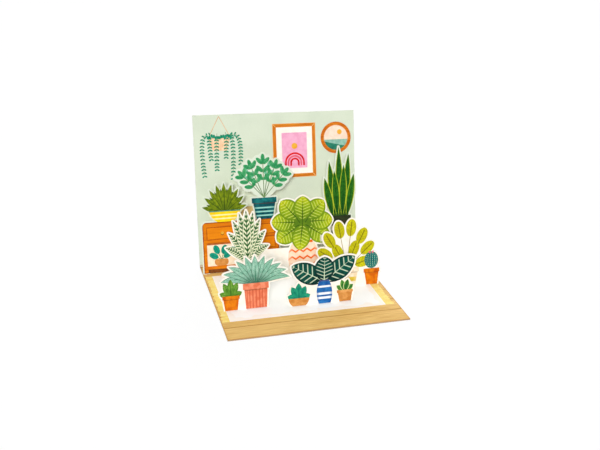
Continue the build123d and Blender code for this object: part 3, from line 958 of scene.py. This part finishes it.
def leafy_spray(sheet):
    """Five stems in a banded pot, each with paired leaves."""
    x, pot_top, rise, sweep = spray_x, cabinet_height + 17.0, 35.0, 42.0
    for number in (0.5, 2.5):
        turn = radians(sweep) * (2 * number / 4 - 1)
        spray_stem(sheet, "spray_back", (x, pot_top), turn, rise * 0.84, (0.62,), 6.4, 3.6)
    for number, share in enumerate((0.86, 0.94, 1.0, 0.92, 0.88)):
        turn = radians(sweep) * (2 * number / 4 - 1)
        spray_stem(sheet, "spray_leaf", (x, pot_top), turn, rise * share, (0.40, 0.58, 0.76), 7.4, 4.2)
    sheet.pot("teal_pot", "teal_rim", x, cabinet_height, 17.0, 20.0, 13.0)


def spray_stem(sheet, ink, root, turn, length, shares, leaf_length, leaf_width):
    """A stem with a leaf at its end and a pair of leaves at each of these shares of its length."""
    root = Vector(root)
    along, across = Vector((sin(turn), cos(turn))), Vector((cos(turn), -sin(turn)))
    sheet.stroke("stem", root, root + along * (length - leaf_length / 2), 0.5)
    for share in shares:
        joint = root + along * (length * share)
        for side in (-1, 1):
            tip = joint + (along + across * side) * (leaf_length * cos(radians(45)))
            sheet.leaf(ink, joint, tip, leaf_length * 0.94, leaf_width * 0.8)
    sheet.leaf(ink, root, root + along * length, leaf_length, leaf_width * 0.8)


def sword_plant(sheet):
    """Upright banded leaves in a dark pot on a wooden stand."""
    x, pot_top, rise, spread, row = sword_x, 39.0, 56.5, 25.0, 12.0
    shares = (0.56, 0.80, 0.66, 1.0, 0.74, 0.90, 0.60)
    for across, share in ((-0.30, 0.44), (-0.16, 0.62), (0.0, 0.56), (0.15, 0.66), (0.30, 0.50)):
        start = (x + row * across, pot_top - 12.0)
        sheet.blade("sword_back", start, (x + spread * across, pot_top + rise * share), 6.0)
    for number in sorted(range(7), key=lambda number: -shares[number]):
        across = number / 6 - 0.5
        start = (x + row * across, pot_top - 1.1)
        sheet.blade("sword", start, (x + spread * across, pot_top + rise * shares[number]), 6.6)
    legs, bars = ((-12.0, -9.2, 17.2), (9.2, 12.0, 17.2)), ((-9.4, 9.4, 6.4, 8.4), (-12.0, 12.0, 16.8, 20.0))
    for left, right, high in legs:
        sheet.box("stand_wood", x + left, x + right, foot_line, high)
    for left, right, low, high in bars:
        sheet.box("stand_wood", x + left, x + right, low, high)
    sheet.pot("green_pot", "green_rim", x, 20.0, 19.0, 19.0, 14.0)


def striped_plant(sheet):
    """Arched cream and green leaves in a clay pot."""
    x, base = stripe_x, 12.9
    sheet.fan("grass_back", x, base, 8, 14.0, 32.0, 3.6, 64.0, 0.09)
    sheet.fan("striped_leaf", x, base, 9, 18.0, 41.5, 7.0, 72.0, 0.09)
    sheet.pot("clay_pot", "clay_rim", x, foot_line, 13.7, 15.0, 11.0)


def broad_plant(sheet):
    """Broad veined leaves over a jar."""
    x, top, rise, spread, width = jar_x, 27.0, 35.5, 50.0, 15.5
    sheet.round_sided("jar", x, foot_line, 26.7, 25.0, 15.0, 17.0)
    sheet.box("jar_rim", x - 7.9, x + 7.9, 24.9, 27.0)
    backs = (
        (-0.05, 0.35, -0.26, 0.26), (0.05, 0.35, 0.27, 0.20),
        (-0.04, 0.40, -0.20, 0.72), (0.04, 0.40, 0.21, 0.70),
    )
    fronts = (
        (-0.10, 0.30, -0.42, 0.02), (0.10, 0.30, 0.44, -0.02), (-0.12, 0.42, -0.50, 0.46),
        (0.12, 0.42, 0.50, 0.42), (-0.08, 0.50, -0.34, 0.92), (0.08, 0.50, 0.36, 0.88),
        (0.0, 0.46, 0.02, 1.0), (0.0, 0.36, -0.06, -0.22),
    )
    sheet.oval("broad_back", (x, top + rise * 0.42), 14.0, 13.0)
    for ink, blades, across in (("broad_back", backs, width * 0.62), ("broad_leaf", fronts, width)):
        for start_x, start_rise, tip_x, tip_rise in blades:
            start = (x + spread * start_x, top + rise * start_rise)
            sheet.blade(ink, start, (x + spread * tip_x, top + rise * tip_rise), across)


def paddle_plant(sheet):
    """Rounded leaves on thin stems."""
    x, top, rise, spread = paddle_x, 15.0, 38.0, 45.0
    tips = (
        (-0.22, 0.50), (0.20, 0.55), (-0.42, 0.10), (0.44, 0.16), (-0.50, 0.42), (0.50, 0.50),
        (-0.37, 0.75), (0.36, 0.80), (-0.14, 0.97), (0.12, 1.0),
    )
    for across, up in tips:
        tip = (x + spread * across, top + rise * up)
        sheet.stroke("brown_stem", (x, top - 0.5), Vector((x, top)).lerp(Vector(tip), 0.8), 0.45)
    for across, up in tips:
        sheet.leaf("paddle_leaf", (x, top), (x + spread * across, top + rise * up), 13.5, 8.6)
    sheet.pot("cream_pot", "cream_rim", x, foot_line, 14.7, 20.0, 13.0)


def ball_cactus(sheet):
    """A round cactus with two small flowers, in an orange pot."""
    x = cactus_x
    sheet.oval("ball_cactus", (x, 19.75), 13.5, 11.4)
    sheet.oval("rose", (x - 1.3, 26.0), 2.2, 1.4, (-0.5, 1))
    sheet.oval("rose", (x + 1.3, 26.0), 2.2, 1.4, (0.5, 1))
    sheet.pot("orange_pot", "orange_rim", x, foot_line, 12.7, 13.0, 9.0)


def grass_tuft(sheet):
    """A wide tuft of grassy leaves in a fluted pink pot."""
    x, base, top = grass_x, 17.5, panel_length - left_front_depth - head_room
    sheet.fan("grass_back", x, base, 10, 20.0, 17.5, 3.6, 74.0, 0.10)
    sheet.fan("grass", x, base, 11, 26.0, top - base, 5.6, 80.0, 0.12)
    sheet.pot("pink_pot", "pink_rim", x, foot_line, 18.7, 19.0, 15.5)


def rosette_plant(sheet):
    """A small rosette in an orange pot."""
    x = rosette_x
    sheet.fan("rosette", x, 9.9, 5, 8.5, 13.5, 5.0, 75.0)
    sheet.pot("orange_pot", "orange_rim", x, foot_line, 10.7, 12.5, 9.0)


def dark_plant(sheet):
    """Three broad dark leaves in a banded jug."""
    x, jug_top, spread = jug_x, 18.0, 49.0
    rise = panel_length - right_front_depth - head_room - jug_top
    for across, up in ((-0.50, 0.72), (0.50, 0.92), (0.02, 1.0)):
        tip = (x + spread * across, jug_top + rise * up)
        sheet.blade("dark_leaf", (x, jug_top - 1.1), tip, 15.5)
    sheet.round_sided("blue_jug", x, foot_line, 17.7, 12.0, 7.0, 9.0)


def cushion_bowl(sheet):
    """Short leaves in a low tan bowl."""
    x = low_bowl_x
    sheet.fan("cushion", x, 4.9, 5, 9.0, 12.5, 5.6, 75.0)
    sheet.round_sided("tan_pot", x, foot_line, 5.7, 14.4, 16.0, 10.0)


def sprout_pot(sheet):
    """A sprout in a small tan pot."""
    x = sprout_x
    sheet.fan("sprout", x, 7.9, 4, 7.5, 9.5, 5.0, 60.0)
    sheet.pot("tan_pot", "tan_rim", x, foot_line, 8.7, 12.5, 9.0)


def floor_rug(floor):
    """A pale rug with a fringe of threads at its two ends."""
    left, right, low, high, count = -60.0, 57.0, 25.0, 101.0, 40
    half = 0.495 * (high - low) / count
    floor.step = 0.0
    for number in range(count):
        v = low + (high - low) * (number + 0.5) / count
        for inner, longest, shorten in ((left, -5.6, 1), (right, 7.0, -1)):
            outer = inner + longest + shorten * floor.lots.uniform(0.0, 1.2)
            thread = [(inner, v - half), (outer, v - half * 0.8), (outer, v + half * 0.8), (inner, v + half)]
            floor.patch("rug_fringe", thread)
    floor.height += next_coat
    floor.box("rug", left, right, low, high)


# Which prints each layer carries, the rear one first
LAYERS = (
    ("cabinet_layer", cabinet_depth, (cabinet, leafy_spray, spiky_bowl)),
    ("tall_plant_layer", tall_depth, (sword_plant,)),
    ("middle_layer", middle_depth, (striped_plant, broad_plant)),
    ("right_layer", right_depth, (paddle_plant, ball_cactus)),
    ("left_front_layer", left_front_depth, (grass_tuft, rosette_plant)),
    ("right_front_layer", right_front_depth, (dark_plant, cushion_bowl, sprout_pot)),
)


def print_sheets():
    """Print the board's wall and floor panel, then each layer."""
    wall = Sheet("wall", 0.0)
    wall.step = wall_coat
    for draw in (table_top, hanging_planter, framed_picture, round_picture):
        draw(wall)
    wall.finish("board")
    floor = Sheet("floor", panel_length, (0, 1, 0), UP)
    floor_rug(floor)
    floor.finish("board")
    for name, depth, prints in LAYERS:
        sheet = Sheet(name, depth)
        for draw in prints:
            draw(sheet)
        sheet.finish()


def dress_sheets():
    """Papers for the card's own board, layers and strips."""
    sage_paper = bordered_paper("sage_paper", (226, 234, 216), (220, 228, 209))
    cream_paper = bordered_paper("cream_paper", CREAM, (249, 240, 226))
    papers = {name: cream_paper for name, depth, prints in LAYERS}
    papers.update(cabinet_layer=sage_paper, tall_plant_layer=sage_paper)
    papers.update(card_board=card_paper(), cabinet_top=top_paper())
    strip = plain_paper("strip_paper")
    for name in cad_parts:
        for slot in bpy.data.objects[name].material_slots:
            slot.material = papers.get(name, strip)


def table_ink():
    """White to the camera, with a faint shadow of the card, and pale grey to the light that bounces off it."""
    ink = Ink("pale_floor")
    seen = ink.node("ShaderNodeLightPath").outputs["Is Camera Ray"]
    ink.colour = ink.mix(seen, BOUNCE_GREY, ink.wash(*TABLE_WHITE))
    matt, white = ink.matt(0.0), ink.node("ShaderNodeEmission")
    mixed = {0: ink.times(seen, white_share), 1: matt.outputs[0], 2: white.outputs[0]}
    return ink.cover(ink.node("ShaderNodeMixShader", mixed))


def pale_table():
    """The plain floor that the card stands on."""
    bm = bmesh.new()
    bmesh.ops.create_circle(bm, cap_ends=True, segments=64, radius=table_radius)
    stage = mesh_object("floor_stage", bm, table_ink())


def soft_lamp(name, direction, strength, width):
    """A broad even light that comes from this direction."""
    sun = bpy.data.lights.new(name, "SUN")
    sun.energy = strength
    sun.angle = radians(width)
    add_object(name, sun).rotation_euler = Vector(direction).to_track_quat("Z", "Y").to_euler()


def pale_sky():
    """White to the camera, and dim to the card."""
    world = bpy.data.worlds.new("studio")
    bpy.context.scene.world = world
    world.use_nodes = True
    tree, background = world.node_tree, world.node_tree.nodes["Background"]
    background.inputs["Color"].default_value = (1, 1, 1, 1)
    seen = add_node(tree, "ShaderNodeLightPath").outputs["Is Camera Ray"]
    strength = add_node(tree, "ShaderNodeMapRange", {"Value": seen, "To Min": sky_light, "To Max": 1.0})
    tree.links.new(strength.outputs[0], background.inputs["Strength"])


def light_stage():
    """A pale table under soft light from in front, above and behind."""
    pale_table()
    for lamp in LAMPS:
        soft_lamp(*lamp)
    pale_sky()


print_sheets()
dress_sheets()
light_stage()
